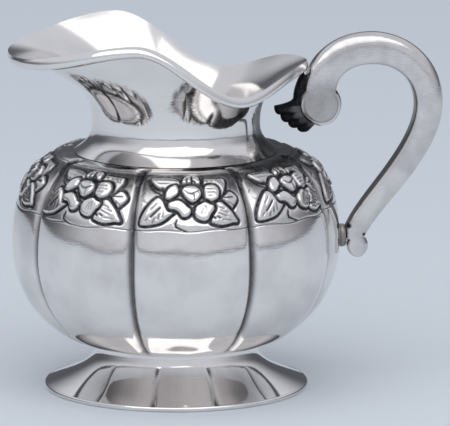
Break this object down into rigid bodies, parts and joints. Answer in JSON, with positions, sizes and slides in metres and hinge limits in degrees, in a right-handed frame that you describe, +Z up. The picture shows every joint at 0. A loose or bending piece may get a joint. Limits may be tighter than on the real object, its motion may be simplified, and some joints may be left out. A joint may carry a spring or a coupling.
{
  "type": "creamer",
  "caption": "Footed silver creamer: lobed bowl with a chased flower band, flaring neck, waved lip with a broad spout and a scroll handle; holds and pours cream at table.",
  "frame": {"origin": "on the table, under the middle of the overall box of spout, bowl and handle", "axes": "+X from the spout to the handle, +Z up, the XZ plane is the plane of symmetry"},
  "size_m": [0.1202, 0.0908, 0.1],
  "materials": {
    "silver_bowl": "polished silver with dark oxide in the chased lines",
    "silver_neck": "bright polished silver",
    "silver_lip": "bright polished silver",
    "silver_foot": "bright polished silver",
    "silver_foot_rim": "polished silver",
    "silver_handle": "satin polished silver with fine scratches",
    "silver_pad": "worn silver solder",
    "silver_leaf": "oxidised silver with bright high points"
  },
  "bodies": {
    "root": {"bowl": "silver_bowl", "neck": "silver_neck", "lip_wire": "silver_lip", "foot": "silver_foot", "foot_rim": "silver_foot_rim", "handle_near": "silver_handle", "handle_far": "silver_handle", "handle_pad": "silver_pad", "handle_leaf": "silver_leaf"}
  },
  "joints": []
}
